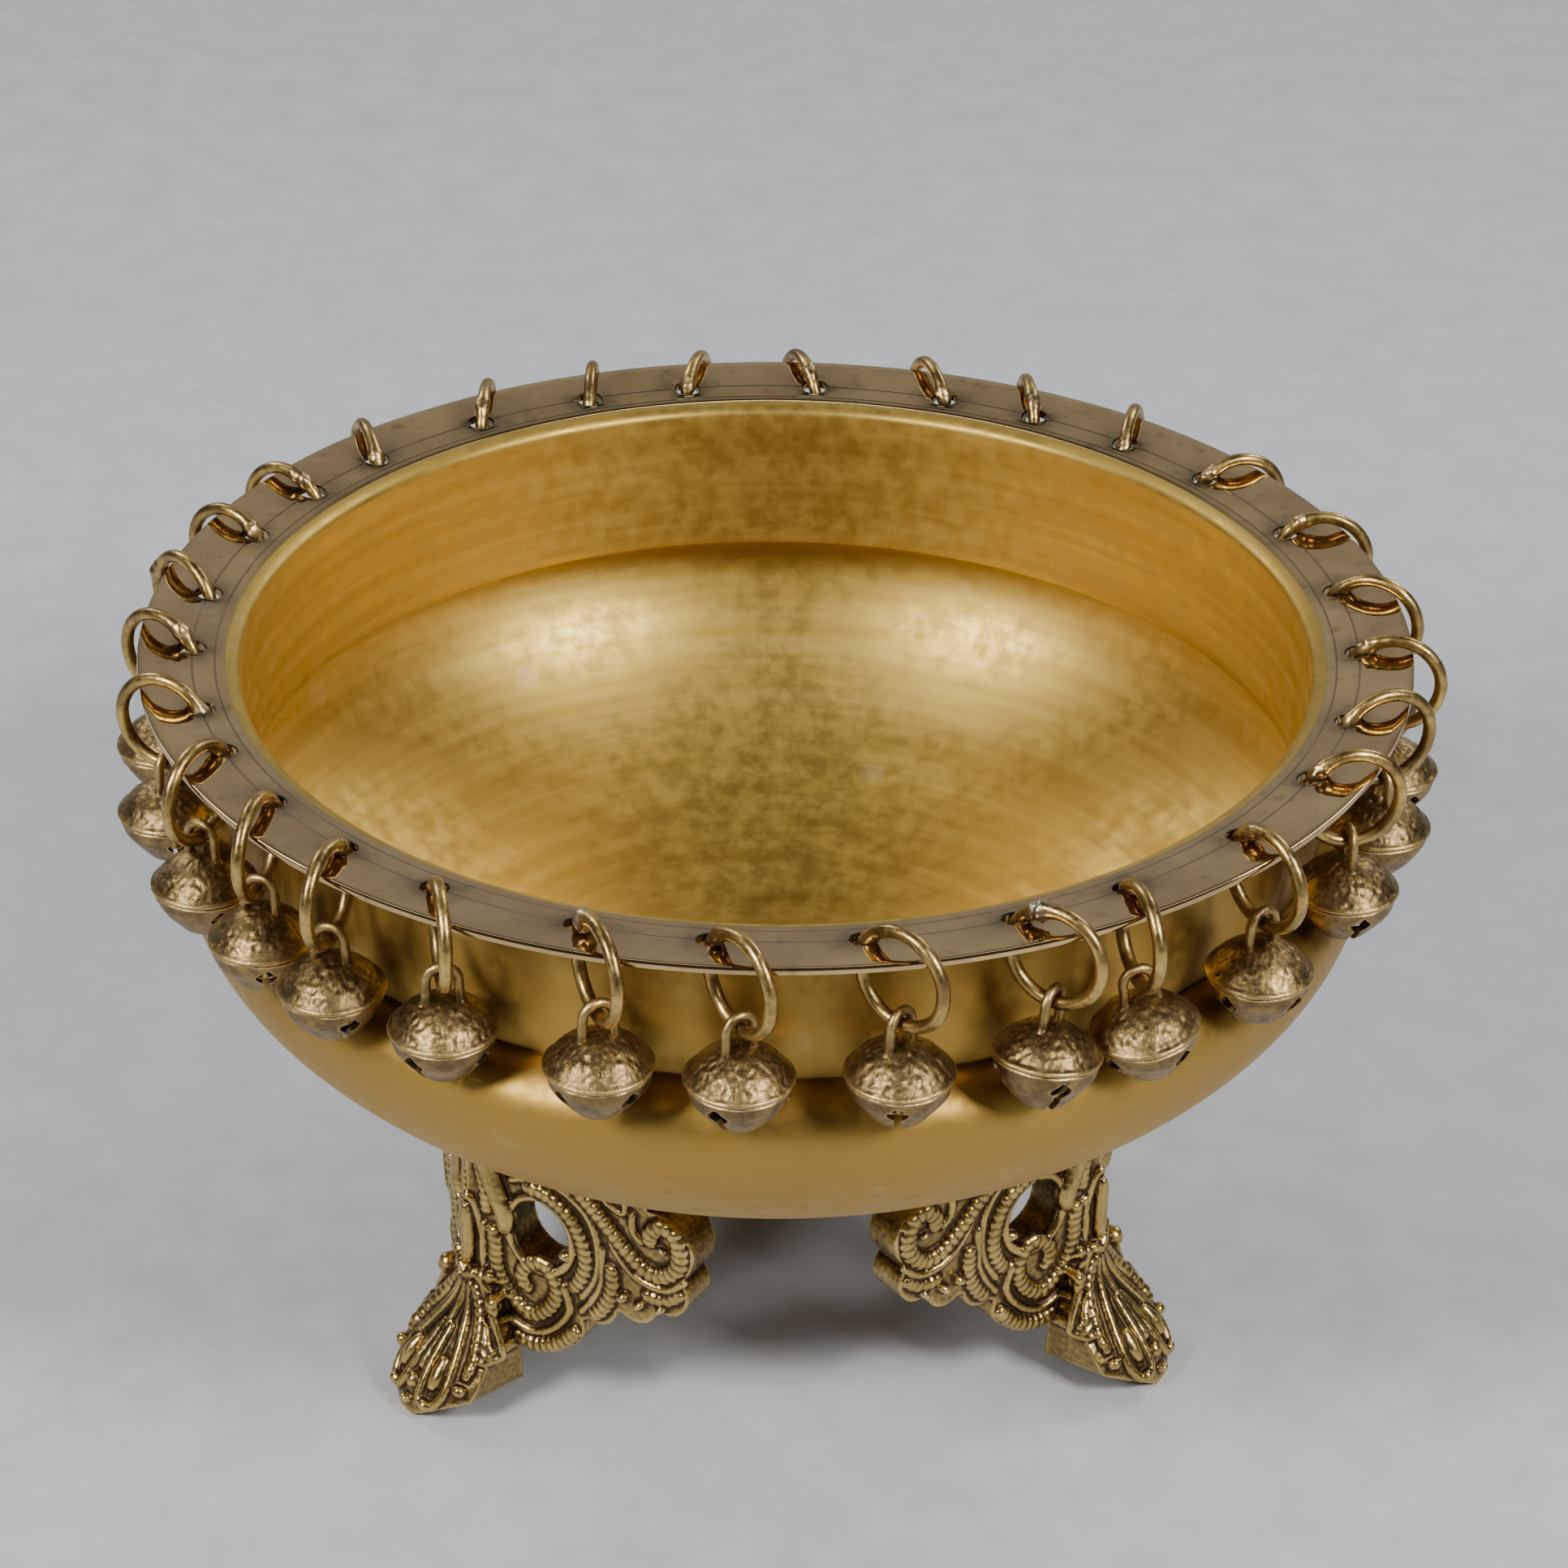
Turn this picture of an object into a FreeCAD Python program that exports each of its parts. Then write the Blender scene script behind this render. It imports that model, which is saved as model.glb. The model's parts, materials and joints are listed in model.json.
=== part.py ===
import FreeCAD, Part
import math
import os

from FreeCAD import Placement, Rotation, Vector

# A brass urli: a wide bowl on three cast feet, with bells hung on wire rings
# all round its rim flange.  Millimetres, +Z up, origin on the floor under the
# middle of the bowl, -Y towards the front.

# ---------------------------------------------------------------- bowl
RIM_RADIUS = 127.0            # outer edge of the flange
RIM_HEIGHT = 158.0            # top outer edge of the flange above the floor
FLANGE_SLOPE = 6.3            # degrees, the flange rises outwards
FLANGE_THICKNESS = 1.6
LIP_OUTER_RADIUS = 110.0      # where the flange top rolls over into the bowl
LIP_DROP = 1.7                # height of the rolled lip
NECK_INNER_RADIUS = 107.0
NECK_TOP_RADIUS = 109.8       # outside of the neck, just under the flange
NECK_FOOT_RADIUS = 111.8      # outside of the neck, at the turned corner
NECK_FOOT_DEPTH = 34.0        # the turned corner, below the rim
NECK_LEDGE_DEPTH = 35.5       # the inside ledge, below the rim
NECK_FILLET = 1.5             # chamfer between the neck and the flange's underside
BELLY_RADIUS = 121.0          # widest point of the belly
BELLY_DEPTH = 42.0            # widest point, below the rim
BELLY_HEIGHT = 60.0           # widest point down to the lowest point
BELLY_POWER = 1.85            # 2 is an ellipse, less is more pointed
WALL = 3.0
BELLY_STEPS = 10
SHOULDER_STEPS = 4
LIP_ROUNDING = 0.4            # share of the lip's drop in its first half

# ---------------------------------------------------------------- rim holes
HOLE_CIRCLE_RADIUS = 116.2
HOLE_RADIUS = 2.5
DRILL_LENGTH = 20.0
# The holes were drilled by eye, so their spacing is uneven.  Degrees
# anticlockwise from +X, starting at the front left.
HOLE_ANGLES = [
    -155, -144, -133, -122, -107.5, -95.5, -82, -68, -56.5, -42,
    -29, -17, -3, 10, 23.5, 38, 49.5, 61, 71.5, 86,
    100, 111, 124, 138, 148, 159, 172.5, 184, 196.5,
]

# ---------------------------------------------------------------- rings
WIRE_RADIUS = 1.3
RING_RADIUS = 9.4             # to the middle of the wire
RING_REST_GAP = 0.15          # ring to flange, where the ring hangs on it
# Each ring hangs turned about its hole by its own amount, in degrees.
RING_TURNS = [
    34, 38, 24, 42, 42, 42, 42, 36, -16, -10,
    38, 36, -8, -34, -26, -24, 26, 36, 40, 26,
    -24, -22, -38, -28, 0, -12, -40, -40, -40,
]

# ---------------------------------------------------------------- bells
BELL_RADIUS = 10.35
BELL_DOME_HEIGHT = 6.6        # seam up to the crown
BELL_CUP_HEIGHT = 9.8         # seam down to the flat bottom
BELL_BOTTOM_RADIUS = 3.2
BELL_SEAM_HALF = 0.7          # half the height of the seam band
BELL_SEAM_LIP = 0.5           # how far the seam stands out
# Dome: shares of the radius and of the height at two points between the seam
# and the crown.  Cup: the same, down from the seam.
DOME_SHOULDER = (0.72, 0.55)
DOME_TOP = (0.36, 0.9)
CUP_SIDE = (0.86, 0.38)
CUP_CORNER = (1.6, 1.2)       # mm out and up from the edge of the flat bottom
BELL_WALL = 1.1
BELL_DROP = 10.5              # ring's lowest wire down to the seam
SLIT_WIDTH = 1.5
SLIT_HOLE_RADIUS = 1.9
SLIT_HOLE_DROP = 3.6          # below the seam
SLIT_HOLE_START = 2.0         # the round holes' cutters start this far out
PELLET_RADIUS = 2.6
LOOP_WIRE_RADIUS = 0.95
LOOP_RADIUS = 3.0
LOOP_GAP = 0.35               # loop to ring wire
LOOP_FOOT = 0.72              # where the loop enters the dome, as a share of its height
PELLET_GAP = 0.05             # pellet to the inside of the bottom
# A few bells lean on a neighbour, in degrees about their ring's wire.
BELL_LEANS = {8: -10.0, 9: 10.0}
# How far each bell's cross slit is turned, in degrees.
BELL_TURNS = [
    26, 10, 26, 54, 42, 64, 87, 17, 45, 45,
    15, 60, 30, 75, 5, 50, 20, 65, 35, 80,
    10, 55, 25, 70, 40, 85, 15, 30, 16,
]

# ---------------------------------------------------------------- feet
FOOT_AZIMUTHS = (-147.0, -23.5, 95.0)
FOOT_TWISTS = (2.5, -5.0, 0.0)
RIDGE_AXIS_RADIUS = 70.5      # the corner of each foot, from the bowl's axis
RIDGE_FOOT_HEIGHT = 26.0
RIDGE_LEAN = 0.5              # outward lean of the corner over its height
RIDGE_HALF = 3.8
FOOT_TOP = 86.0               # taller than the belly there, then trimmed to it
WING_HALF_ANGLE = 66.0
WING_THICKNESS = 9.0
WING_FACE = 3.0               # outer face of a wing, from the corner's axis
WING_VOLUTE = (44.0, 51.0, 8.2)
# Lobes of the scalloped lower edge: distance from the corner, height, radius.
WING_LOBES = [
    (45.5, 40.5, 5.5), (38.5, 35.5, 5.0), (29.0, 31.5, 5.0), (20.0, 23.5, 6.0), (11.0, 19.5, 6.0),
]
WING_OUTLINE = [
    (0.0, 14.0), (11.0, 14.5), (20.0, 18.5), (26.0, 26.0), (33.0, 31.0), (40.0, 33.0), (46.0, 38.0),
    (50.0, 45.0), (50.0, 52.0), (46.0, 58.0), (41.5, 58.0), (41.5, FOOT_TOP), (0.0, FOOT_TOP),
]
WING_PIERCING = (16.0, 44.0, 8.3, 7.2)   # distance, height, half height, half width
# Palmette toe, as sections from the floor up:
# height, inner distance, outer distance, half width, bulge of the outer face.
TOE_SECTIONS = [
    (0.0, 66.0, 91.0, 11.0, 5.0),
    (8.0, 68.0, 87.5, 13.5, 5.0),
    (18.0, 67.0, 79.0, 11.0, 3.6),
    (30.0, 66.0, 75.0, 6.0, 2.0),
]
TOE_BACK_SHARE = 0.7          # width of a section's back against its front
KEEL_HALF = 2.5               # half width of the flat that stands on the floor
KEEL_SLOPE = 0.6              # rise of the underside on each side of that flat


def flange_top(radius):
    """Height of the flange's top face at a distance from the bowl's axis."""
    return RIM_HEIGHT - (RIM_RADIUS - radius) * math.tan(math.radians(FLANGE_SLOPE))


def depth(radius, below_rim):
    """A profile point, given as a distance from the axis and below the rim."""
    return Vector(radius, 0, RIM_HEIGHT - below_rim)


def belly_curve(inset):
    """Belly profile from its widest point to the axis, moved in by inset."""
    half_width = BELLY_RADIUS - inset
    height = BELLY_HEIGHT - inset
    points = []
    for step in range(BELLY_STEPS + 1):
        angle = math.pi / 2 * step / BELLY_STEPS
        radius = half_width * math.cos(angle) ** (2 / BELLY_POWER)
        drop = height * math.sin(angle) ** (2 / BELLY_POWER)
        points.append(depth(radius, BELLY_DEPTH + drop))
    points[-1] = depth(0, BELLY_DEPTH + height)
    curve = Part.BSplineCurve()
    curve.interpolate(points)
    return curve.toShape()


def shoulder_curve(neck_radius, neck_depth, widest_radius):
    """Quarter ellipse from the foot of the neck out to the widest belly."""
    centre = depth(neck_radius, BELLY_DEPTH)
    out = widest_radius - neck_radius
    up = BELLY_DEPTH - neck_depth
    points = []
    for step in range(SHOULDER_STEPS + 1):
        angle = math.pi / 2 * step / SHOULDER_STEPS
        points.append(centre + Vector(out * math.sin(angle), 0, up * math.cos(angle)))
    curve = Part.BSplineCurve()
    curve.interpolate(points)
    return curve.toShape()


def line(start, end):
    return Part.LineSegment(start, end).toShape()


def chain(points):
    return [line(a, b) for a, b in zip(points, points[1:])]


def revolved(edges):
    """Solid of revolution about the Z axis from a closed half profile."""
    face = Part.Face(Part.Wire(Part.__sortEdges__(edges)))
    return face.revolve(Vector(0, 0, 0), Vector(0, 0, 1), 360)


def neck_and_flange_points():
    """Outside of the neck and flange, from the turned corner up to the rim."""
    under_radius = NECK_TOP_RADIUS + NECK_FILLET
    under = flange_top(under_radius) - FLANGE_THICKNESS
    return [
        depth(NECK_FOOT_RADIUS, NECK_FOOT_DEPTH),
        Vector(NECK_TOP_RADIUS, 0, under - NECK_FILLET),
        Vector(under_radius, 0, under),
        depth(RIM_RADIUS, FLANGE_THICKNESS),
        depth(RIM_RADIUS, 0),
    ]


def belly_blank():
    """Everything inside the bowl's outer surface, as one solid."""
    outside = neck_and_flange_points()
    edges = [belly_curve(0), shoulder_curve(NECK_FOOT_RADIUS, NECK_FOOT_DEPTH, BELLY_RADIUS)]
    edges += chain(outside + [depth(0, 0), depth(0, BELLY_DEPTH + BELLY_HEIGHT)])
    return revolved(edges)


def make_bowl():
    outside = neck_and_flange_points()
    lip = Vector(LIP_OUTER_RADIUS, 0, flange_top(LIP_OUTER_RADIUS))
    inside_neck = [
        outside[-1],
        lip,
        Vector((LIP_OUTER_RADIUS + NECK_INNER_RADIUS) / 2, 0, lip.z - LIP_DROP * LIP_ROUNDING),
        Vector(NECK_INNER_RADIUS, 0, lip.z - LIP_DROP),
        depth(NECK_INNER_RADIUS, NECK_LEDGE_DEPTH),
    ]
    edges = [belly_curve(0), shoulder_curve(NECK_FOOT_RADIUS, NECK_FOOT_DEPTH, BELLY_RADIUS)]
    edges += chain(outside)
    edges += chain(inside_neck)
    edges.append(shoulder_curve(NECK_INNER_RADIUS, NECK_LEDGE_DEPTH, BELLY_RADIUS - WALL))
    edges.append(belly_curve(WALL))
    edges.append(line(depth(0, BELLY_DEPTH + BELLY_HEIGHT - WALL), depth(0, BELLY_DEPTH + BELLY_HEIGHT)))
    bowl = revolved(edges)
    drills = []
    for angle in HOLE_ANGLES:
        centre = polar(HOLE_CIRCLE_RADIUS, angle, RIM_HEIGHT - DRILL_LENGTH / 2)
        drills.append(Part.makeCylinder(HOLE_RADIUS, DRILL_LENGTH, centre))
    return bowl.cut(Part.makeCompound(drills))


def polar(radius, angle, height):
    turn = math.radians(angle)
    return Vector(radius * math.cos(turn), radius * math.sin(turn), height)


def ring_frame(number):
    """Where a ring hangs: its centre, the direction it points, and its axis.

    The ring goes down through its hole and out over the rim edge.  Its inside
    rests on two points: the outer edge of the hole and the edge of the rim.
    """
    hole_angle = HOLE_ANGLES[number - 1]
    heading = math.radians(hole_angle + RING_TURNS[number - 1])
    along = Vector(math.cos(heading), math.sin(heading), 0)
    hole = polar(HOLE_CIRCLE_RADIUS, hole_angle, 0)
    reach = hole.dot(along)
    to_rim = -reach + math.sqrt(reach ** 2 + RIM_RADIUS ** 2 - HOLE_CIRCLE_RADIUS ** 2)
    inner_rest = hole + along * HOLE_RADIUS
    inner_rest.z = flange_top(math.hypot(inner_rest.x, inner_rest.y))
    outer_rest = hole + along * to_rim
    outer_rest.z = RIM_HEIGHT
    chord = outer_rest - inner_rest
    inside_radius = RING_RADIUS - WIRE_RADIUS - RING_REST_GAP
    fall = math.sqrt(inside_radius ** 2 - (chord.Length / 2) ** 2)
    tilt = chord.normalize()
    ring_axis = Vector(0, 0, 1).cross(tilt).normalize()
    down = ring_axis.cross(tilt)
    if down.z > 0:
        down = down * -1
    centre = (inner_rest + outer_rest) * 0.5 + down * fall
    return centre, along, ring_axis


def make_ring(number):
    centre, along, ring_axis = ring_frame(number)
    return Part.makeTorus(RING_RADIUS, WIRE_RADIUS, centre, ring_axis)


def bell_placement(number):
    """Bell frame at the ring's lowest wire: X along the wire, Z up."""
    centre, along, ring_axis = ring_frame(number)
    hook = centre - Vector(0, 0, RING_RADIUS)
    heading = HOLE_ANGLES[number - 1] + RING_TURNS[number - 1]
    turn = Rotation(Vector(0, 0, 1), heading)
    lean = Rotation(Vector(1, 0, 0), BELL_LEANS.get(number, 0.0))
    return Placement(hook, turn.multiply(lean))


def bell_surface(inset):
    """Closed solid inside the bell's outer surface moved in by inset.

    A low dome above the seam and a straight-sided cup below it.
    """
    seam = -BELL_DROP
    radius = BELL_RADIUS - inset
    half = BELL_SEAM_HALF
    dome_foot = Vector(radius - BELL_SEAM_LIP, 0, seam + half)
    cup_top = Vector(radius - BELL_SEAM_LIP, 0, seam - half)
    crown = Vector(0, 0, seam + BELL_DOME_HEIGHT - inset)
    dome = Part.BSplineCurve()
    dome.interpolate([
        dome_foot,
        Vector(radius * DOME_SHOULDER[0], 0, seam + BELL_DOME_HEIGHT * DOME_SHOULDER[1] - inset),
        Vector(radius * DOME_TOP[0], 0, seam + BELL_DOME_HEIGHT * DOME_TOP[1] - inset),
        crown,
    ])
    bottom = seam - BELL_CUP_HEIGHT + inset
    cup = Part.BSplineCurve()
    cup.interpolate([
        cup_top,
        Vector(radius * CUP_SIDE[0], 0, seam - BELL_CUP_HEIGHT * CUP_SIDE[1]),
        Vector(BELL_BOTTOM_RADIUS + CUP_CORNER[0], 0, bottom + CUP_CORNER[1]),
        Vector(BELL_BOTTOM_RADIUS, 0, bottom),
    ])
    edges = [dome.toShape(), cup.toShape()]
    edges += chain([dome_foot, Vector(radius, 0, seam), cup_top])
    edges += chain([Vector(BELL_BOTTOM_RADIUS, 0, bottom), Vector(0, 0, bottom), crown])
    return revolved(edges)


def bell_slits(turn):
    """The cross slit in the cup, with a round hole at each of its four ends."""
    seam = -BELL_DROP
    cutters = []
    for quarter in range(4):
        angle = turn + 90 * quarter
        height = BELL_CUP_HEIGHT - SLIT_HOLE_DROP
        slit = Part.makeBox(
            BELL_RADIUS, SLIT_WIDTH, height + 1, Vector(0, -SLIT_WIDTH / 2, seam - BELL_CUP_HEIGHT - 1)
        )
        hole = Part.makeCylinder(
            SLIT_HOLE_RADIUS, BELL_RADIUS, Vector(SLIT_HOLE_START, 0, seam - SLIT_HOLE_DROP), Vector(1, 0, 0)
        )
        for cutter in (slit, hole):
            cutter.rotate(Vector(0, 0, 0), Vector(0, 0, 1), angle)
            cutters.append(cutter)
    return cutters


def bell_loop():
    """Wire loop across the ring's wire: a half ring on two straight legs."""
    arch_height = WIRE_RADIUS + LOOP_GAP + LOOP_WIRE_RADIUS - LOOP_RADIUS
    leg_foot = -BELL_DROP + BELL_DOME_HEIGHT * LOOP_FOOT
    across = Vector(0, LOOP_RADIUS, 0)
    top = Vector(0, 0, arch_height)
    arc = Part.Arc(top - across, top + Vector(0, 0, LOOP_RADIUS), top + across).toShape()
    left = line(Vector(0, -LOOP_RADIUS, leg_foot), top - across)
    right = line(top + across, Vector(0, LOOP_RADIUS, leg_foot))
    path = Part.Wire([left, arc, right])
    section = Part.Wire(Part.makeCircle(LOOP_WIRE_RADIUS, Vector(0, -LOOP_RADIUS, leg_foot)))
    return path.makePipeShell([section], True, False)


def make_bell(number):
    placement = bell_placement(number)
    heading = HOLE_ANGLES[number - 1] + RING_TURNS[number - 1]
    hollow = bell_surface(BELL_WALL)
    shell = bell_surface(0).fuse(bell_loop()).cut(hollow)
    shell = shell.cut(Part.makeCompound(bell_slits(BELL_TURNS[number - 1] - heading)))
    rest = -BELL_DROP - BELL_CUP_HEIGHT + BELL_WALL + PELLET_RADIUS + PELLET_GAP
    pellet = Part.makeSphere(PELLET_RADIUS, Vector(0, 0, rest))
    bell = Part.makeCompound(shell.Solids + [pellet])
    bell.Placement = placement
    return bell


def make_wing(side):
    """One pierced, scalloped side of a foot, running out along +X."""
    near = -WING_FACE if side > 0 else WING_FACE - WING_THICKNESS
    through = Vector(0, WING_THICKNESS, 0)
    corners = [Vector(x, near, z) for x, z in WING_OUTLINE]
    plate = Part.Face(Part.makePolygon(corners + corners[:1])).extrude(through)
    bosses = []
    for distance, height, radius in WING_LOBES + [WING_VOLUTE]:
        bosses.append(Part.makeCylinder(radius, WING_THICKNESS, Vector(distance, near, height), through))
    distance, height, tall, wide = WING_PIERCING
    centre = Vector(distance, near - WING_THICKNESS, height)
    oval = Part.Ellipse(centre + Vector(0, 0, tall), centre + Vector(wide, 0, 0), centre)
    piercing = Part.Face(Part.Wire(oval.toShape())).extrude(through * 3)
    return plate.fuse(bosses).cut(piercing)


def toe_section(height, inner, outer, half_width, bulge):
    """Closed outline with a flat back and an outward bulging front."""
    right = Vector(outer - bulge, half_width, height)
    left = Vector(outer - bulge, -half_width, height)
    front = Part.Arc(left, Vector(outer, 0, height), right).toShape()
    back_right = Vector(inner, half_width * TOE_BACK_SHARE, height)
    back_left = Vector(inner, -half_width * TOE_BACK_SHARE, height)
    return Part.Wire([front] + chain([right, back_right, back_left, left]))


def make_toe():
    """The palmette toe, its underside rising on both sides of a narrow flat."""
    toe = Part.makeLoft([toe_section(*section) for section in TOE_SECTIONS], True)
    reach = 2 * TOE_SECTIONS[1][3]
    rise = (reach - KEEL_HALF) * KEEL_SLOPE
    top = TOE_SECTIONS[-1][0]
    outline = [(-reach, rise), (-KEEL_HALF, 0), (KEEL_HALF, 0), (reach, rise), (reach, top), (-reach, top)]
    corners = [Vector(0, y, z) for y, z in outline]
    keel = Part.Face(Part.makePolygon(corners + corners[:1])).extrude(Vector(2 * RIDGE_AXIS_RADIUS, 0, 0))
    return toe.common(keel)


def ridge_section(height, middle):
    """Square outline with one corner pointing outwards."""
    corners = []
    for quarter in range(4):
        angle = math.pi / 2 * quarter
        corners.append(Vector(middle + RIDGE_HALF * math.cos(angle), RIDGE_HALF * math.sin(angle), height))
    return Part.makePolygon(corners + corners[:1])


def make_foot(azimuth, twist, belly):
    """A cast corner foot, built on +X and turned to its place under the belly."""
    foot = ridge_section(RIDGE_FOOT_HEIGHT, RIDGE_AXIS_RADIUS)
    top = ridge_section(FOOT_TOP, RIDGE_AXIS_RADIUS + RIDGE_LEAN)
    foot = Part.makeLoft([foot, top], True)
    pieces = [make_toe()]
    for side in (-1, 1):
        wing = make_wing(side)
        wing.rotate(Vector(0, 0, 0), Vector(0, 0, 1), side * (180 - WING_HALF_ANGLE))
        wing.translate(Vector(RIDGE_AXIS_RADIUS, 0, 0))
        pieces.append(wing)
    foot = foot.fuse(pieces).removeSplitter()
    foot.rotate(Vector(RIDGE_AXIS_RADIUS, 0, 0), Vector(0, 0, 1), twist)
    foot.rotate(Vector(0, 0, 0), Vector(0, 0, 1), azimuth)
    return foot.cut(belly)


def make_feet():
    belly = belly_blank()
    feet = []
    for azimuth, twist in zip(FOOT_AZIMUTHS, FOOT_TWISTS):
        feet += make_foot(azimuth, twist, belly).Solids
    return Part.makeCompound(feet)


def save(name, shape):
    shape.exportStep(os.path.join("parts", name + ".step"))


def main():
    os.makedirs("parts", exist_ok=True)
    save("bowl", make_bowl())
    save("feet", make_feet())
    for number in range(1, len(HOLE_ANGLES) + 1):
        save("ring_%02d" % number, make_ring(number))
        save("bell_%02d" % number, make_bell(number))


main()
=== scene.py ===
import json
import math

import bmesh
import bpy
import numpy as np
from mathutils import Matrix, Vector, noise
from mathutils.bvhtree import BVHTree


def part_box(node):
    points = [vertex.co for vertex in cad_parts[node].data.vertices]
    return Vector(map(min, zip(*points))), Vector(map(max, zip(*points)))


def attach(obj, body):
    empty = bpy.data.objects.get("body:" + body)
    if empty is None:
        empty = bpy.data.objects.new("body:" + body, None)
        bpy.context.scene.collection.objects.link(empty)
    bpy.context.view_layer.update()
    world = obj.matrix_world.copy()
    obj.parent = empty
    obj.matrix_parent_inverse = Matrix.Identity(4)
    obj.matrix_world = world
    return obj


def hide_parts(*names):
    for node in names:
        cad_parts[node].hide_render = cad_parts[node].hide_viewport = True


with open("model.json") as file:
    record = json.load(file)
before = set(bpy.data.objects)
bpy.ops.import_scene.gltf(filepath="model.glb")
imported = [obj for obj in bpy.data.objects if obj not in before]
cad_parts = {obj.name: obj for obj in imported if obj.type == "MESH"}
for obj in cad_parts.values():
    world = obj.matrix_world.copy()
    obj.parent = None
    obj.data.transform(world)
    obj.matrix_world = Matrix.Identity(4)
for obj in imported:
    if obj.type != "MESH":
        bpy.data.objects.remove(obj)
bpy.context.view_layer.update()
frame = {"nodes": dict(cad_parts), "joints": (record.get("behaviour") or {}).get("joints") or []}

MM = 0.001

# ------------------------------------------------------------------ bowl sizes
RIM_RADIUS = 127.0
RIM_HEIGHT = 158.0
FLANGE_SLOPE = math.tan(math.radians(6.3))
FLANGE_THICKNESS = 1.6
LIP_OUTER_RADIUS = 110.0
LIP_DROP = 1.7
NECK_INNER_RADIUS = 107.0
NECK_TOP_RADIUS = 109.8
NECK_FOOT_RADIUS = 111.8
NECK_FOOT_DEPTH = 34.0
NECK_LEDGE_DEPTH = 35.5
BELLY_RADIUS = 121.0
BELLY_DEPTH = 42.0
BELLY_HEIGHT = 60.0
BELLY_POWER = 1.85
WALL = 3.0
HOLE_CIRCLE_RADIUS = 116.2
HOLE_RADIUS = 2.5
SCRIBE_RADII = (116.3, 111.8)
PATCH_HALF = 3.6              # half side of the square mesh patch round each hole
PATCH_STEPS = 8
COLUMN_STEP = 0.6             # degrees between the mesh's columns elsewhere
HOLE_ANGLES = [
    -155, -144, -133, -122, -107.5, -95.5, -82, -68, -56.5, -42,
    -29, -17, -3, 10, 23.5, 38, 49.5, 61, 71.5, 86,
    100, 111, 124, 138, 148, 159, 172.5, 184, 196.5,
]

# ------------------------------------------------------- ring and bell sizes
WIRE_RADIUS = 1.3
RING_RADIUS = 9.4
RING_TURNS = [
    34, 38, 24, 42, 42, 42, 42, 36, -16, -10,
    38, 36, -8, -34, -26, -24, 26, 36, 40, 26,
    -24, -22, -38, -28, 0, -12, -40, -40, -40,
]
RING_STEPS = 132
WIRE_SIDES = 20
# Where a ring's brazed lump sits round it, and how much it swells the wire.
RING_LUMPS = {
    5: (math.radians(128), 0.55),
    8: (math.radians(112), 0.5),
    29: (math.radians(160), 0.5),
    27: (math.radians(20), 0.45),
}
# How silvery the braze shows, where it isn't dull.
SOLDER_SHINE = {5: 1.0, 8: 0.5, 29: 0.4}
DULL_SOLDER = 0.12
BELL_RADIUS = 10.35
BELL_DOME_HEIGHT = 6.6
BELL_CUP_HEIGHT = 9.8
BELL_BOTTOM_RADIUS = 3.2
BELL_WALL = 1.1
BELL_DROP = 10.5
SLIT_WIDTH = 1.5
SLIT_HOLE_RADIUS = 1.9
SLIT_HOLE_DROP = 3.6
PELLET_RADIUS = 2.6
LOOP_WIRE_RADIUS = 0.95
LOOP_RADIUS = 3.0
LOOP_GAP = 0.35
BELL_LEANS = {8: -10.0, 9: 10.0}
BELL_TURNS = [
    26, 10, 26, 54, 42, 64, 87, 17, 45, 45,
    15, 60, 30, 75, 5, 50, 20, 65, 35, 80,
    10, 55, 25, 70, 40, 85, 15, 30, 16,
]

# ------------------------------------------------------------------ foot sizes
FOOT_AZIMUTHS = (-147.0, -23.5, 95.0)
FOOT_TWISTS = (2.5, -5.0, 0.0)
RIDGE_AXIS_RADIUS = 70.5
WING_HALF_ANGLE = 66.0
WING_FACE = 3.0
WING_PIERCING = (16.0, 44.0, 8.3, 7.2)

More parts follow.
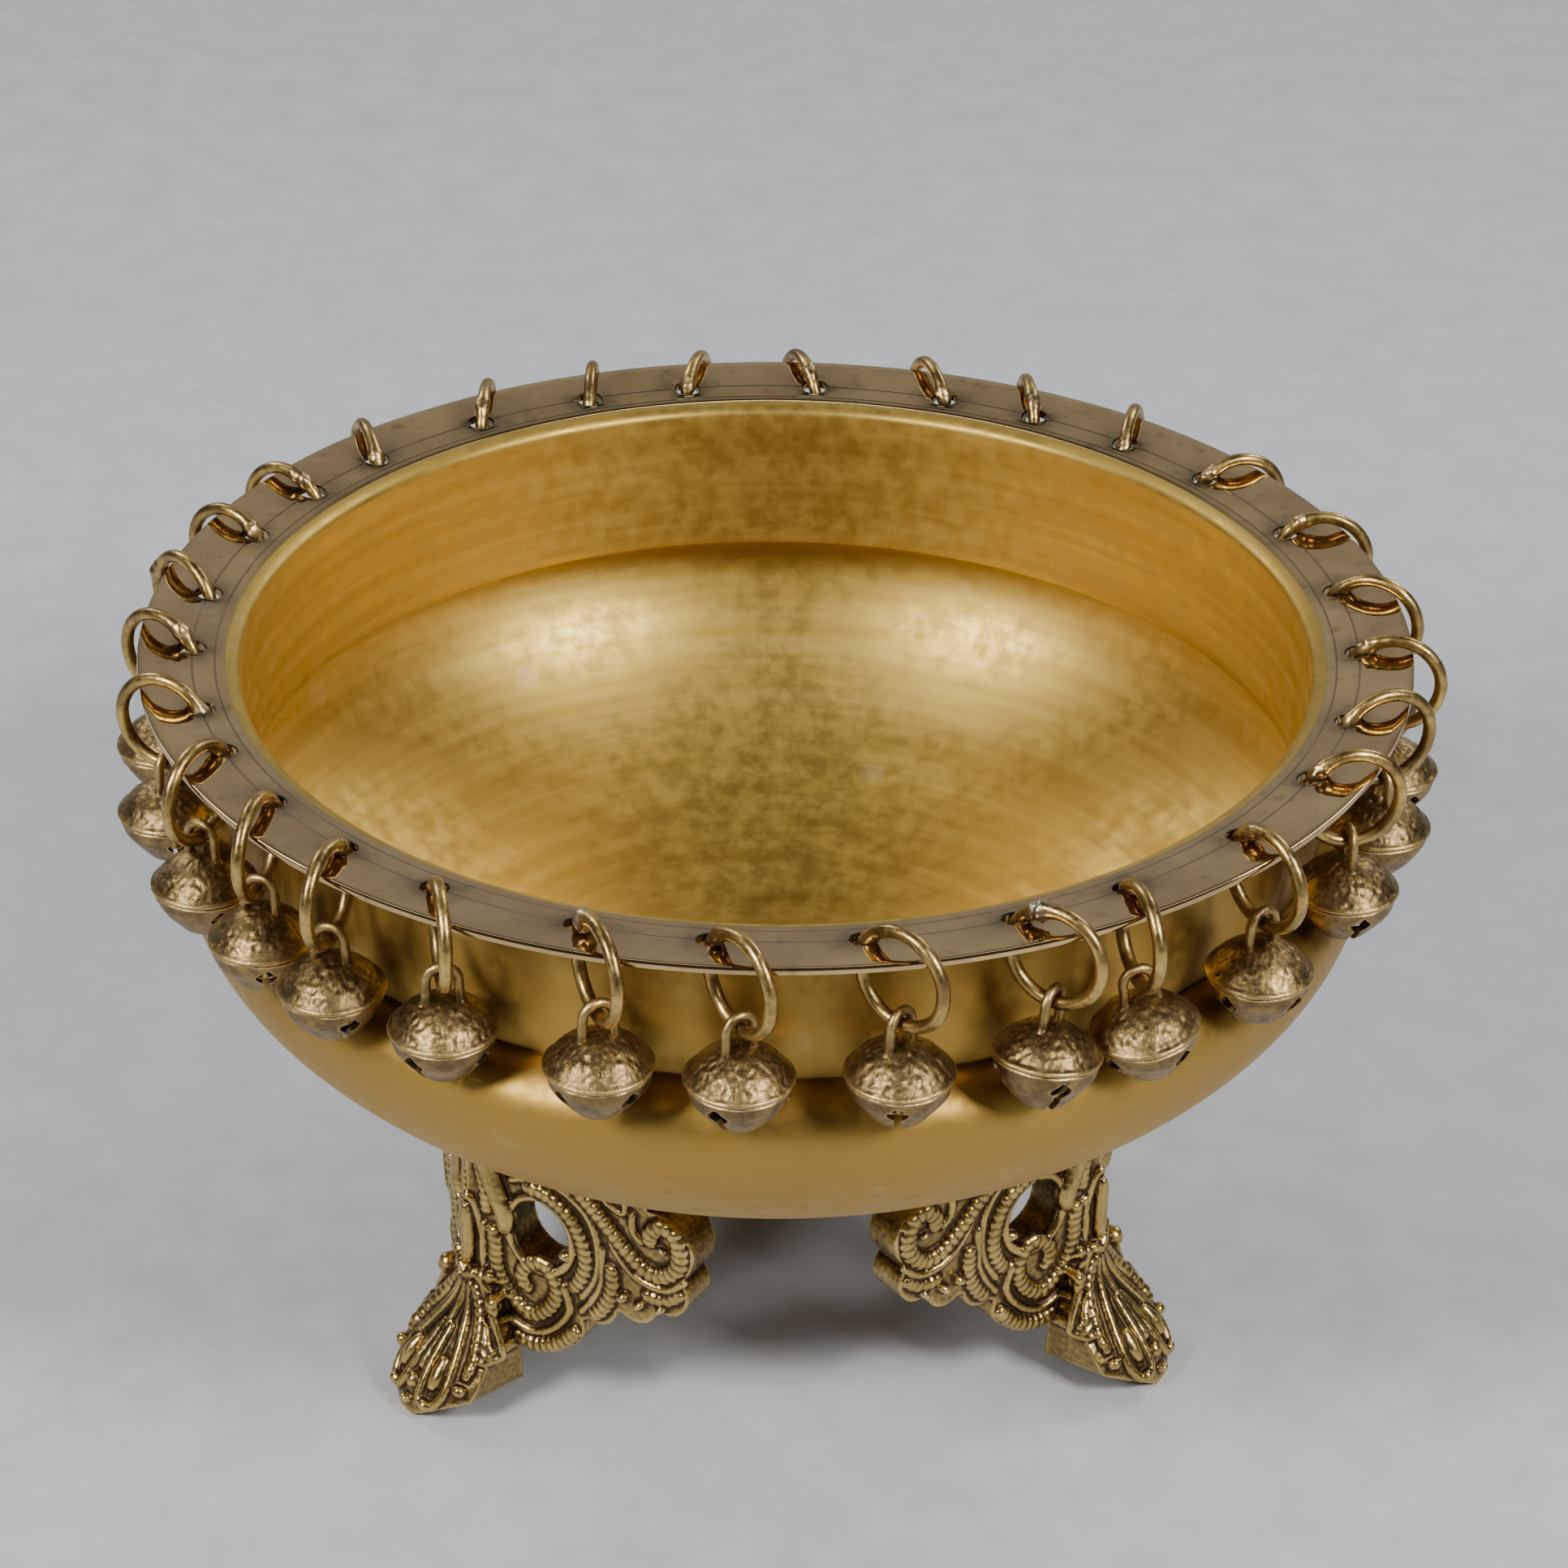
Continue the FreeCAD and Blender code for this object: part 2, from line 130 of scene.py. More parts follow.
# Relief cast on the face of a foot's wing.  Each is a radius, whether it is
# ribbed like rope, and its course: distance from the corner, height.
WING_RELIEF = [
    (1.35, True, [(4, 42), (5, 39), (5.5, 32), (8.5, 26.5), (13.5, 23.5), (18, 26.5), (20, 32),
                  (17, 37), (12.5, 35), (11.5, 31.5), (13.5, 29)]),
    (0.9, False, [(2.5, 42.5), (1.8, 36), (2.6, 28), (6, 22), (12.5, 18.8), (18.5, 21.3), (22.8, 27.5),
                  (21.5, 34)]),
    (0.9, False, [(8.5, 55), (15.5, 58), (22, 57), (27.5, 53), (30, 46.5), (29.5, 38.5), (25.5, 31.5)]),
    (1.3, True, [(12, 55), (18, 54.5), (23.5, 51), (26.3, 46), (27, 41.5), (26, 37), (23.5, 33)]),
    (1.9, False, [(22.3, 40.4), (22.1, 42.2)]),
    (1.45, True, [(23, 60.5), (27, 57.5), (31, 54), (34.5, 50.5), (38, 47.3), (41.5, 45), (45.5, 45),
                  (48.8, 48), (49.5, 52.5), (48, 56), (45, 56.8), (42.6, 54), (43, 51.2)]),
    (1.7, False, [(45.5, 51), (45.8, 51.8)]),
    (0.9, False, [(26, 60), (29.5, 55.2), (32.5, 50.5), (35, 46), (39.5, 42.2), (46, 41.6), (51, 45.5)]),
    (1.2, True, [(7, 58), (11, 60.5), (16, 62), (20, 61)]),
    (0.75, False, [(28.5, 62), (32.5, 58), (36.5, 57), (35.5, 63)]),
    (1.1, True, [(40.5, 38.5), (46, 39), (50, 42)]),
    (2.2, False, [(35.5, 37), (36.5, 35.5)]),
    (2.3, False, [(39.5, 36.3), (40.5, 35.2)]),
    (2.2, False, [(44.5, 37), (45.5, 36)]),
    (1.3, True, [(33.2, 43), (33.3, 37), (31, 31.5), (27.8, 28.2)]),
    (0.9, False, [(31, 47), (30.9, 38), (28.3, 32), (25.3, 28)]),
    (1.3, True, [(9, 16.8), (14, 15.8), (20, 18.2), (25, 23.5)]),
    (1.0, False, [(5, 20.5), (7, 17), (9.5, 14.2), (5, 16.5)]),
    (1.0, False, [(41, 51), (38.5, 54), (38.5, 58)]),
    (2.3, False, [(2.5, 64), (3.5, 58), (6, 51), (8, 46), (7.5, 42)]),
    (1.0, True, [(0.5, 62), (1.5, 56), (2.5, 50), (3, 44.5)]),
]
# The same for the palmette on the toe: distance aside, height.
TOE_RELIEF = [
    (1.0, False, [(1.2, 27), (3.6, 20), (7.2, 12), (8.3, 7), (6.6, 3.6), (3.4, 4.4), (2.1, 10.5),
                  (1.1, 18)]),
    (1.6, False, [(4.7, 13), (5.4, 9.5), (5.4, 7)]),
    (2.1, False, [(5.6, 5), (5.7, 3)]),
    (1.2, True, [(2.4, 27), (6.6, 20.5), (9.9, 14), (10.6, 10.5)]),
    (2.1, False, [(10.6, 9.5), (11.3, 7.6)]),
    (0.9, False, [(3, 29.5), (7.6, 25), (11.4, 18.5), (12.6, 14.2), (10, 14.8), (6.6, 19.5), (3, 26.5)]),
    (1.4, False, [(9.5, 18.5), (11.2, 15.8)]),
    (1.3, True, [(3.5, 31.5), (7.5, 28), (10, 23)]),
    (1.5, False, [(5, 32.5), (7, 30.5)]),
]
TOE_STEM = [
    (0.9, False, [(0, 27), (0, 16), (0, 9)]),
    (1.7, False, [(0, 8), (0, 5.5)]),
    (1.9, False, [(0, 3.6), (0, 2.2)]),
    (1.1, False, [(-3.2, 30.5), (0, 28), (3.2, 30.5)]),
    (1.5, False, [(0, 46), (0.2, 39), (0, 31)]),
    (0.9, False, [(-3.4, 36), (-2.4, 42), (0, 48), (2.4, 42), (3.4, 36)]),
]
RIB_PITCH = 1.75
RIB_DEPTH = 0.2
ROPE_FLATNESS = 1.4
FOOT_VOXEL = 0.33


# ------------------------------------------------------------------- materials
class Graph:
    """Short calls for building a material's nodes."""

    def __init__(self, name):
        self.material = bpy.data.materials.new(name)
        self.material.use_nodes = True
        self.tree = self.material.node_tree
        self.shader = self.tree.nodes["Principled BSDF"]

    def put(self, value, socket):
        if isinstance(value, bpy.types.NodeSocket):
            self.tree.links.new(value, socket)
        else:
            socket.default_value = value

    def add(self, kind, **settings):
        node = self.tree.nodes.new(kind)
        for key, value in settings.items():
            setattr(node, key, value)
        return node

    def math(self, operation, *values):
        node = self.add("ShaderNodeMath", operation=operation)
        for value, socket in zip(values, node.inputs):
            self.put(value, socket)
        return node.outputs[0]

    def step(self, value, low, high, out_low=0.0, out_high=1.0):
        """Smooth step from out_low at low to out_high at high."""
        node = self.add("ShaderNodeMapRange", interpolation_type="SMOOTHSTEP")
        for item, socket in zip((value, low, high, out_low, out_high), node.inputs):
            self.put(item, socket)
        return node.outputs[0]

    def noise(self, vector, scale, detail, roughness=0.5, w=None):
        node = self.add("ShaderNodeTexNoise", noise_dimensions="3D" if w is None else "4D")
        self.put(vector, node.inputs["Vector"])
        if w is not None:
            self.put(w, node.inputs["W"])
        self.put(scale, node.inputs["Scale"])
        self.put(detail, node.inputs["Detail"])
        self.put(roughness, node.inputs["Roughness"])
        return node.outputs["Fac"]

    def cells(self, vector, scale):
        node = self.add("ShaderNodeTexVoronoi")
        self.put(vector, node.inputs["Vector"])
        self.put(scale, node.inputs["Scale"])
        return node.outputs["Distance"]

    def mix(self, factor, first, second):
        node = self.add("ShaderNodeMix", data_type="RGBA")
        self.put(factor, node.inputs[0])
        for value, socket in zip((first, second), (node.inputs[6], node.inputs[7])):
            self.put(value, socket)
        return node.outputs[2]

    def blend(self, factor, first, second):
        """A number between first and second."""
        node = self.add("ShaderNodeMix", data_type="FLOAT")
        self.put(factor, node.inputs[0])
        self.put(first, node.inputs[2])
        self.put(second, node.inputs[3])
        return node.outputs[0]

    def place(self):
        return self.add("ShaderNodeTexCoord").outputs["Object"]

    def split(self, vector):
        node = self.add("ShaderNodeSeparateXYZ")
        self.put(vector, node.inputs[0])
        return node.outputs

    def join(self, x, y, z):
        node = self.add("ShaderNodeCombineXYZ")
        for value, socket in zip((x, y, z), node.inputs):
            self.put(value, socket)
        return node.outputs[0]

    def attribute(self, name):
        return self.add("ShaderNodeAttribute", attribute_name=name).outputs["Fac"]

    def bump(self, height, strength, distance):
        node = self.add("ShaderNodeBump")
        self.put(strength, node.inputs["Strength"])
        self.put(distance, node.inputs["Distance"])
        self.put(height, node.inputs["Height"])
        return node.outputs[0]

    def surface(self, **sockets):
        for name, value in sockets.items():
            self.put(value, self.shader.inputs[name.replace("_", " ")])
        return self.material


def colour(red, green, blue):
    """An sRGB colour, 0 to 255, as linear RGBA."""
    linear = []
    for value in (red, green, blue):
        share = value / 255
        linear.append(share / 12.92 if share <= 0.04045 else ((share + 0.055) / 1.055) ** 2.4)
    return (*linear, 1.0)


def turned_brass():
    g = Graph("turned_brass")
    place = g.place()
    x, y, z = g.split(place)
    radius = g.math("SQRT", g.math("ADD", g.math("MULTIPLY", x, x), g.math("MULTIPLY", y, y)))
    turn_x = g.math("DIVIDE", x, radius)
    turn_y = g.math("DIVIDE", y, radius)

    def lathe_lines(around, across, detail, roughness):
        """Lines round the bowl: long round it, and fine across themselves."""
        round_x = g.math("MULTIPLY", turn_x, around)
        round_y = g.math("MULTIPLY", turn_y, around)
        stretched = g.join(round_x, round_y, g.math("MULTIPLY", z, across))
        return g.noise(stretched, 1.0, detail, roughness, w=g.math("MULTIPLY", radius, across))

    lathe = lathe_lines(3.0, 1500.0, 2.0, 0.5)
    bands = lathe_lines(1.2, 260.0, 3.0, 0.6)

    # The flange top has an aged, browner colour.
    past_lip = g.step(radius, (LIP_OUTER_RADIUS - 0.6) * MM, (LIP_OUTER_RADIUS + 0.4) * MM)
    near_top = g.step(z, (RIM_HEIGHT - 5.0) * MM, (RIM_HEIGHT - 3.4) * MM)
    on_flange = g.math("MULTIPLY", past_lip, near_top)
    patches = g.noise(place, 38.0, 5.0, 0.62)
    spots = g.noise(place, 210.0, 3.0, 0.6)
    gold = g.mix(g.step(bands, 0.3, 0.75), colour(184, 152, 74), colour(204, 174, 92))
    gold = g.mix(g.step(patches, 0.45, 0.85, 0.0, 0.15), gold, colour(176, 142, 70))
    # The outer surface is painted a darker gold: painted shade, standing in for the darker floor and shadow
    # that the belly reflects.
    gold = g.mix(g.math("MULTIPLY", g.attribute("outside"), 0.85), gold, colour(172, 136, 66))
    aged = g.mix(g.step(patches, 0.35, 0.7), colour(182, 154, 108), colour(208, 178, 124))
    aged = g.mix(g.step(spots, 0.55, 0.75, 0.0, 0.5), aged, colour(132, 108, 80))

    # Scribed circles on the flange, and the stains round the drilled holes.
    circles = []
    for scribe_radius in SCRIBE_RADII:
        off_line = g.math("ABSOLUTE", g.math("SUBTRACT", radius, scribe_radius * MM))
        circles.append(g.step(off_line, 0.0001, 0.0003, 1.0, 0.0))
    worn = g.step(patches, 0.3, 0.55, 0.35, 1.0)
    scribes = g.math("MULTIPLY", g.math("MAXIMUM", *circles), worn)
    aged = g.mix(g.math("MULTIPLY", scribes, 0.6), aged, colour(84, 72, 60))
    stain = g.attribute("stain")
    aged = g.mix(g.math("MULTIPLY", stain, g.step(spots, 0.3, 0.6, 0.4, 0.9)), aged, colour(58, 48, 42))
    base = g.mix(on_flange, gold, aged)

    # Water spots: faint pale discs.
    drops = g.cells(place, 62.0)
    drop_mask = g.step(g.noise(place, 24.0, 1.0), 0.5, 0.62)
    disc = g.math("MULTIPLY", g.step(drops, 0.16, 0.2, 1.0, 0.0), drop_mask)
    base = g.mix(g.math("MULTIPLY", disc, 0.14), base, colour(226, 214, 180))

    # Satin inside and out, with a mirror finish on the flange top.
    rough = g.blend(on_flange, g.step(spots, 0.3, 0.7, 0.42, 0.55), 0.0)

    height = g.math("ADD", g.math("MULTIPLY", lathe, 0.5), g.math("MULTIPLY", bands, 0.9))
    height = g.math("SUBTRACT", height, g.math("MULTIPLY", g.math("MULTIPLY", scribes, on_flange), 5.0))
    height = g.math("ADD", height, g.math("MULTIPLY", g.math("MULTIPLY", spots, on_flange), 1.2))
    normal = g.bump(height, 0.12, 0.00005)
    return g.surface(
        Base_Color=base, Metallic=1.0, Roughness=rough, Normal=normal, Anisotropic=0.4,
        Anisotropic_Rotation=0.25,
        Tangent=g.add("ShaderNodeTangent", direction_type="RADIAL", axis="Z").outputs[0],
    )


def wire_brass():
    g = Graph("ring_brass")
    place = g.place()
    patches = g.noise(place, 160.0, 4.0, 0.6)
    grain = g.noise(place, 900.0, 3.0, 0.6)
    base = g.mix(g.step(patches, 0.35, 0.68), colour(144, 118, 72), colour(208, 176, 106))
    base = g.mix(g.step(grain, 0.5, 0.75, 0.0, 0.45), base, colour(96, 76, 60))
    solder = g.attribute("solder")
    silvery = g.math("MULTIPLY", solder, g.step(grain, 0.35, 0.6, 0.45, 0.9))
    base = g.mix(silvery, base, colour(205, 200, 188))
    rough = g.step(grain, 0.3, 0.7, 0.27, 0.42)
    return g.surface(
        Base_Color=base, Metallic=1.0, Roughness=rough,
        Normal=g.bump(g.math("ADD", grain, patches), 0.5, 0.00012),
    )


def bell_brass():
    g = Graph("bell_brass")
    place = g.place()
    patches = g.noise(place, 230.0, 5.0, 0.65)
    grain = g.noise(place, 1100.0, 4.0, 0.65)
    cavity = g.attribute("cavity")
    base = g.mix(g.step(patches, 0.35, 0.68), colour(108, 90, 58), colour(156, 130, 84))
    # Darker in the hollows: partly patina, partly painted shade.
    base = g.mix(g.step(cavity, 0.45, 0.1, 0.0, 0.85), base, colour(56, 42, 32))
    # Paler on the ridges: partly rubbed-bright wear, partly painted highlight.
    base = g.mix(g.step(cavity, 0.58, 0.85, 0.0, 0.8), base, colour(204, 174, 112))
    base = g.mix(g.step(grain, 0.55, 0.8, 0.0, 0.5), base, colour(88, 72, 54))
    rough = g.step(grain, 0.3, 0.7, 0.32, 0.5)
    return g.surface(
        Base_Color=base, Metallic=1.0, Roughness=rough,
        Normal=g.bump(g.math("ADD", grain, g.math("MULTIPLY", patches, 1.5)), 0.6, 0.00018),
    )


def cast_brass():
    g = Graph("cast_brass")
    place = g.place()
    patches = g.noise(place, 120.0, 5.0, 0.62)
    grain = g.noise(place, 900.0, 4.0, 0.65)
    cavity = g.attribute("cavity")
    base = g.mix(g.step(patches, 0.35, 0.68), colour(178, 150, 88), colour(210, 182, 112))
    # Dark in the recesses of the relief: partly patina, partly painted shade.
    base = g.mix(g.step(cavity, 0.6, 0.4, 0.0, 0.94), base, colour(60, 45, 37))
    # Pale on the raised relief: partly rubbed-bright wear, partly painted highlight.
    base = g.mix(g.step(cavity, 0.66, 0.9, 0.0, 0.85), base, colour(250, 228, 166))
    rough = g.math("ADD", g.step(grain, 0.3, 0.7, 0.2, 0.36), g.step(cavity, 0.5, 0.25, 0.0, 0.3))
    return g.surface(
        Base_Color=base, Metallic=1.0, Roughness=rough,
        Normal=g.bump(g.math("ADD", grain, patches), 0.5, 0.00015),
    )


def floor_paper():
    g = Graph("floor_paper")
    place = g.place()
    mottle = g.noise(place, 60.0, 4.0, 0.6)
    base = g.mix(g.step(mottle, 0.3, 0.7), colour(182, 184, 188), colour(192, 194, 197))
    return g.surface(Base_Color=base, Roughness=0.55, Normal=g.bump(mottle, 0.2, 0.0002))


# ------------------------------------------------------------------ mesh tools
def make_object(name, points, faces, material, sharp_angle=35.0):
    """A smooth-shaded mesh object from points in metres."""
    mesh = bpy.data.meshes.new(name)
    mesh.from_pydata(np.asarray(points, float).tolist(), [], [list(map(int, face)) for face in faces])
    mesh.validate()
    mesh.shade_smooth()
    mesh.set_sharp_from_angle(angle=math.radians(sharp_angle))
    mesh.materials.append(material)
    made = bpy.data.objects.new(name, mesh)
    bpy.context.scene.collection.objects.link(made)
    return made


def grid_faces(rows, columns, wrap_rows=False, wrap_columns=True, start=0):
    """Quads of a grid of points stored row after row."""
    faces = []
    for row in range(rows if wrap_rows else rows - 1):
        low = start + row * columns
        high = start + (row + 1) % rows * columns
        for column in range(columns if wrap_columns else columns - 1):
            after = (column + 1) % columns
            faces.append((low + column, low + after, high + after, high + column))
    return faces


def set_attribute(made, name, values):
    layer = made.data.attributes.new(name, "FLOAT", "POINT")
    layer.data.foreach_set("value", np.asarray(values, np.float32))


def mesh_arrays(mesh):
    points = np.empty(len(mesh.vertices) * 3)
    mesh.vertices.foreach_get("co", points)
    normals = np.empty(len(mesh.vertices) * 3)
    mesh.vertices.foreach_get("normal", normals)
    edges = np.empty(len(mesh.edges) * 2, int)
    mesh.edges.foreach_get("vertices", edges)
    return points.reshape(-1, 3), normals.reshape(-1, 3), edges.reshape(-1, 2)


def cavity_of(mesh, rounds, scale):
    """0.5 on flat places, less in hollows and more on ridges."""
    points, normals, edges = mesh_arrays(mesh)
    counts = np.bincount(edges.ravel(), minlength=len(points)).reshape(-1, 1)
    counts[counts == 0] = 1
    smooth = points.copy()
    both = np.concatenate([edges, edges[:, ::-1]])
    for _ in range(rounds):
        total = np.empty_like(smooth)
        for axis in range(3):
            total[:, axis] = np.bincount(both[:, 0], smooth[both[:, 1], axis], minlength=len(smooth))
        smooth = 0.5 * smooth + 0.5 * total / counts
    proud = ((points - smooth) * normals).sum(1)
    return np.clip(0.5 + proud / scale, 0, 1)


# ------------------------------------------------------------------------ bowl
def flange_top(radius):
    return RIM_HEIGHT - (RIM_RADIUS - radius) * FLANGE_SLOPE


def flange_under(radius):
    return flange_top(radius) - FLANGE_THICKNESS


def belly_points(inset, steps):
    """Belly profile from the axis out to its widest point, moved in by inset."""
    points = []
    for step in range(steps + 1):
        angle = math.pi / 2 * (1 - step / steps)
        radius = (BELLY_RADIUS - inset) * max(math.cos(angle), 0.0) ** (2 / BELLY_POWER)
        drop = (BELLY_HEIGHT - inset) * math.sin(angle) ** (2 / BELLY_POWER)
        points.append((radius, RIM_HEIGHT - BELLY_DEPTH - drop))
    return points


def shoulder_points(neck_radius, neck_depth, widest_radius, steps):
    """Quarter ellipse from the widest belly up to the foot of the neck."""
    points = []
    for step in range(1, steps + 1):
        angle = math.pi / 2 * (1 - step / steps)
        radius = neck_radius + (widest_radius - neck_radius) * math.sin(angle)
        height = RIM_HEIGHT - BELLY_DEPTH + (BELLY_DEPTH - neck_depth) * math.cos(angle)
        points.append((radius, height))
    return points


def run(start, end, steps):
    """Points after start, up to and including end."""
    return [
        (start[0] + (end[0] - start[0]) * step / steps, start[1] + (end[1] - start[1]) * step / steps)
        for step in range(1, steps + 1)
    ]


def bowl_profile():
    """Half section from the outside bottom round to the inside bottom.

    Returns the points and the first row of the two bands that hold the holes.
    """
    patch_in = HOLE_CIRCLE_RADIUS - PATCH_HALF
    patch_out = HOLE_CIRCLE_RADIUS + PATCH_HALF
    points = belly_points(0, 60)
    points += shoulder_points(NECK_FOOT_RADIUS, NECK_FOOT_DEPTH, BELLY_RADIUS, 10)
    corner = points[-1]
    for back, up in ((0.35, 0.1), (0.35, 0.5), (-0.02, 0.8)):
        points.append((corner[0] - back, corner[1] + up))
    under_radius = NECK_TOP_RADIUS + 1.5
    under = flange_under(under_radius)
    points += run(points[-1], (NECK_TOP_RADIUS, under - 1.5), 16)
    points.append((NECK_TOP_RADIUS + 0.4, under - 0.45))
    points.append((under_radius, under))
    points.append((patch_in, flange_under(patch_in)))
    under_row = len(points) - 1
    points += run(points[-1], (patch_out, flange_under(patch_out)), PATCH_STEPS)
    edge = RIM_RADIUS - 0.5
    points += run(points[-1], (edge, flange_under(edge)), 5)
    points.append((RIM_RADIUS - 0.12, flange_under(RIM_RADIUS) + 0.2))
    points.append((RIM_RADIUS, flange_under(RIM_RADIUS) + 0.6))
    points.append((RIM_RADIUS, RIM_HEIGHT - 0.55))
    points.append((RIM_RADIUS - 0.15, RIM_HEIGHT - 0.17))
    points.append((edge, flange_top(edge)))
    points += run(points[-1], (patch_out, flange_top(patch_out)), 5)
    top_row = len(points) - 1
    points += run(points[-1], (patch_in, flange_top(patch_in)), PATCH_STEPS)
    lip = LIP_OUTER_RADIUS
    points += run(points[-1], (lip + 0.25, flange_top(lip + 0.25)), 2)
    lip_top = flange_top(lip)
    for back, down in ((0, 0.06), (0.5, 0.16), (1.2, 0.38), (2.0, 0.75), (2.6, 1.2)):
        points.append((lip - back, lip_top - down))
    points.append((NECK_INNER_RADIUS + 0.08, lip_top - LIP_DROP))
    points.append((NECK_INNER_RADIUS, lip_top - LIP_DROP - 0.6))
    ledge = (NECK_INNER_RADIUS, RIM_HEIGHT - NECK_LEDGE_DEPTH)
    points += run(points[-1], (ledge[0], ledge[1] + 0.5), 16)
    points.append((ledge[0] + 0.15, ledge[1] + 0.08))
    shoulder = shoulder_points(NECK_INNER_RADIUS, NECK_LEDGE_DEPTH, BELLY_RADIUS - WALL, 12)
    points += shoulder[-2::-1]
    points += belly_points(WALL, 70)[::-1]
    return points, under_row, top_row


def bowl_columns():
    """Column angles in degrees, and the first column of each hole's patch."""
    half = math.degrees(PATCH_HALF / HOLE_CIRCLE_RADIUS)
    angles, firsts = [], []
    order = sorted(HOLE_ANGLES)
    for hole, after in zip(order, order[1:] + [order[0] + 360]):
        firsts.append(len(angles))
        angles += [hole - half + 2 * half * step / PATCH_STEPS for step in range(PATCH_STEPS)]
        start, end = hole + half, after - half
        steps = max(2, round((end - start) / COLUMN_STEP))
        angles += [start + (end - start) * step / steps for step in range(steps)]
    return order, angles, firsts


def flange_wave(x, y):
    """Slight unevenness of the hand-finished flange."""
    return 0.09 * noise.noise(Vector((x / 22, y / 22, 3.1)))


def make_bowl():
    profile, under_row, top_row = bowl_profile()
    holes, angles, firsts = bowl_columns()
    columns = len(angles)
    turn = np.radians(angles)
    points = []
    for radius, height in profile[1:-1]:
        ring = np.column_stack([radius * np.cos(turn), radius * np.sin(turn), np.full(columns, height)])
        points.append(ring)
    points = np.vstack(points)
    rows = len(profile) - 2
    skip = set()
    for first in firsts:
        for row in (under_row - 1, top_row - 1):
            for step in range(PATCH_STEPS):
                for column in range(PATCH_STEPS):
                    skip.add((row + step) * columns + (first + column) % columns)
    faces = []
    for index, face in enumerate(grid_faces(rows, columns)):
        if index not in skip:
            faces.append(face)
    poles = np.array([[0, 0, profile[0][1]], [0, 0, profile[-1][1]]])
    start = len(points)
    points = np.vstack([points, poles])
    last = (rows - 1) * columns
    for column in range(columns):
        after = (column + 1) % columns
        faces.append((start, after, column))
        faces.append((last + column, last + after, start + 1))
    points = points.tolist()
    stains = [0.0] * len(points)
    for hole, first in zip(holes, firsts):
        drill(points, stains, faces, columns, hole, first, under_row - 1, top_row - 1)
    points = np.array(points)
    high = points[:, 2] > RIM_HEIGHT - FLANGE_THICKNESS - 2.6
    for index in np.nonzero(high)[0]:
        reach = math.hypot(points[index, 0], points[index, 1])
        if reach > NECK_TOP_RADIUS:
            points[index, 2] += flange_wave(points[index, 0], points[index, 1])
        angle = math.degrees(math.atan2(points[index, 1], points[index, 0]))
        gap = min(abs((angle - hole + 180) % 360 - 180) for hole in holes)
        aside = math.radians(gap) * HOLE_CIRCLE_RADIUS
        away = math.hypot(aside * 0.8, reach - HOLE_CIRCLE_RADIUS)
        if reach > LIP_OUTER_RADIUS:
            stains[index] = math.exp(-((away / 4.2) ** 2))
    bowl = make_object("bowl_turned", points * MM, faces, MATERIALS["turned_brass"], 30.0)
    set_attribute(bowl, "stain", stains)
    # Marks the outer surface, whose gold the material darkens as painted shade.
    outside = np.zeros(len(points))
    outside[:under_row * columns] = 1.0
    outside[start] = 1.0
    set_attribute(bowl, "outside", outside)
    return bowl


def drill(points, stains, faces, columns, hole, first, under_row, top_row):
    """Fills a hole's two square patches with rings of quads and lines the hole."""
    turn = math.radians(hole)
    outward = (math.cos(turn), math.sin(turn))
    around = (-math.sin(turn), math.cos(turn))

    def border(row):
        steps = PATCH_STEPS
        cells = [(0, c) for c in range(steps)] + [(r, steps) for r in range(steps)]
        cells += [(steps, c) for c in range(steps, 0, -1)] + [(r, 0) for r in range(steps, 0, -1)]
        return [(row + r) * columns + (first + c) % columns for r, c in cells]

    def circle(side, radius, surface, lift):
        """One more ring of points, in the directions of a border's points."""
        made = []
        for index in side:
            x, y = points[index][0], points[index][1]
            off_out = x * outward[0] + y * outward[1] - HOLE_CIRCLE_RADIUS
            off_round = x * around[0] + y * around[1]
            length = math.hypot(off_out, off_round)
            if radius < 0:
                reach = length + radius * (length - HOLE_RADIUS - 0.3)
            else:
                reach = radius
            to_out = HOLE_CIRCLE_RADIUS + off_out / length * reach
            to_round = off_round / length * reach
            px = to_out * outward[0] + to_round * around[0]
            py = to_out * outward[1] + to_round * around[1]
            made.append(len(points))
            points.append([px, py, surface(math.hypot(px, py)) + lift])
            stains.append(0.0)
        return made

    def bearing(index):
        """Direction of a point seen from the hole's middle."""
        x, y = points[index][0], points[index][1]
        off_out = x * outward[0] + y * outward[1] - HOLE_CIRCLE_RADIUS
        return math.atan2(x * around[0] + y * around[1], off_out)

    def join(first_ring, second_ring):
        count = len(first_ring)
        for step in range(count):
            after = (step + 1) % count
            faces.append((first_ring[step], first_ring[after], second_ring[after], second_ring[step]))

    top = border(top_row)
    rings = [top]
    for radius, lift in ((-0.45, 0.02), (-0.8, 0.1), (HOLE_RADIUS + 0.3, 0.08), (HOLE_RADIUS + 0.05, -0.2)):
        rings.append(circle(top, radius, flange_top, lift))
    rings.append(circle(top, HOLE_RADIUS, flange_under, 0.25))
    rings.append(circle(top, HOLE_RADIUS + 0.2, flange_under, 0.0))
    for before, after in zip(rings, rings[1:]):
        join(before, after)
    # The patch below has its rows the other way round.
    below = border(under_row)
    bearings = {index: bearing(index) for index in below}
    order = []
    for index in rings[-1]:
        here = bearing(index)
        order.append(min(below, key=lambda b: abs(math.remainder(bearings[b] - here, 2 * math.pi))))
    join(rings[-1], order)


# ----------------------------------------------------------------------- rings
def joint(name):
    for entry in frame["joints"]:
        if entry["name"] == name:
            return entry
    raise KeyError(name)


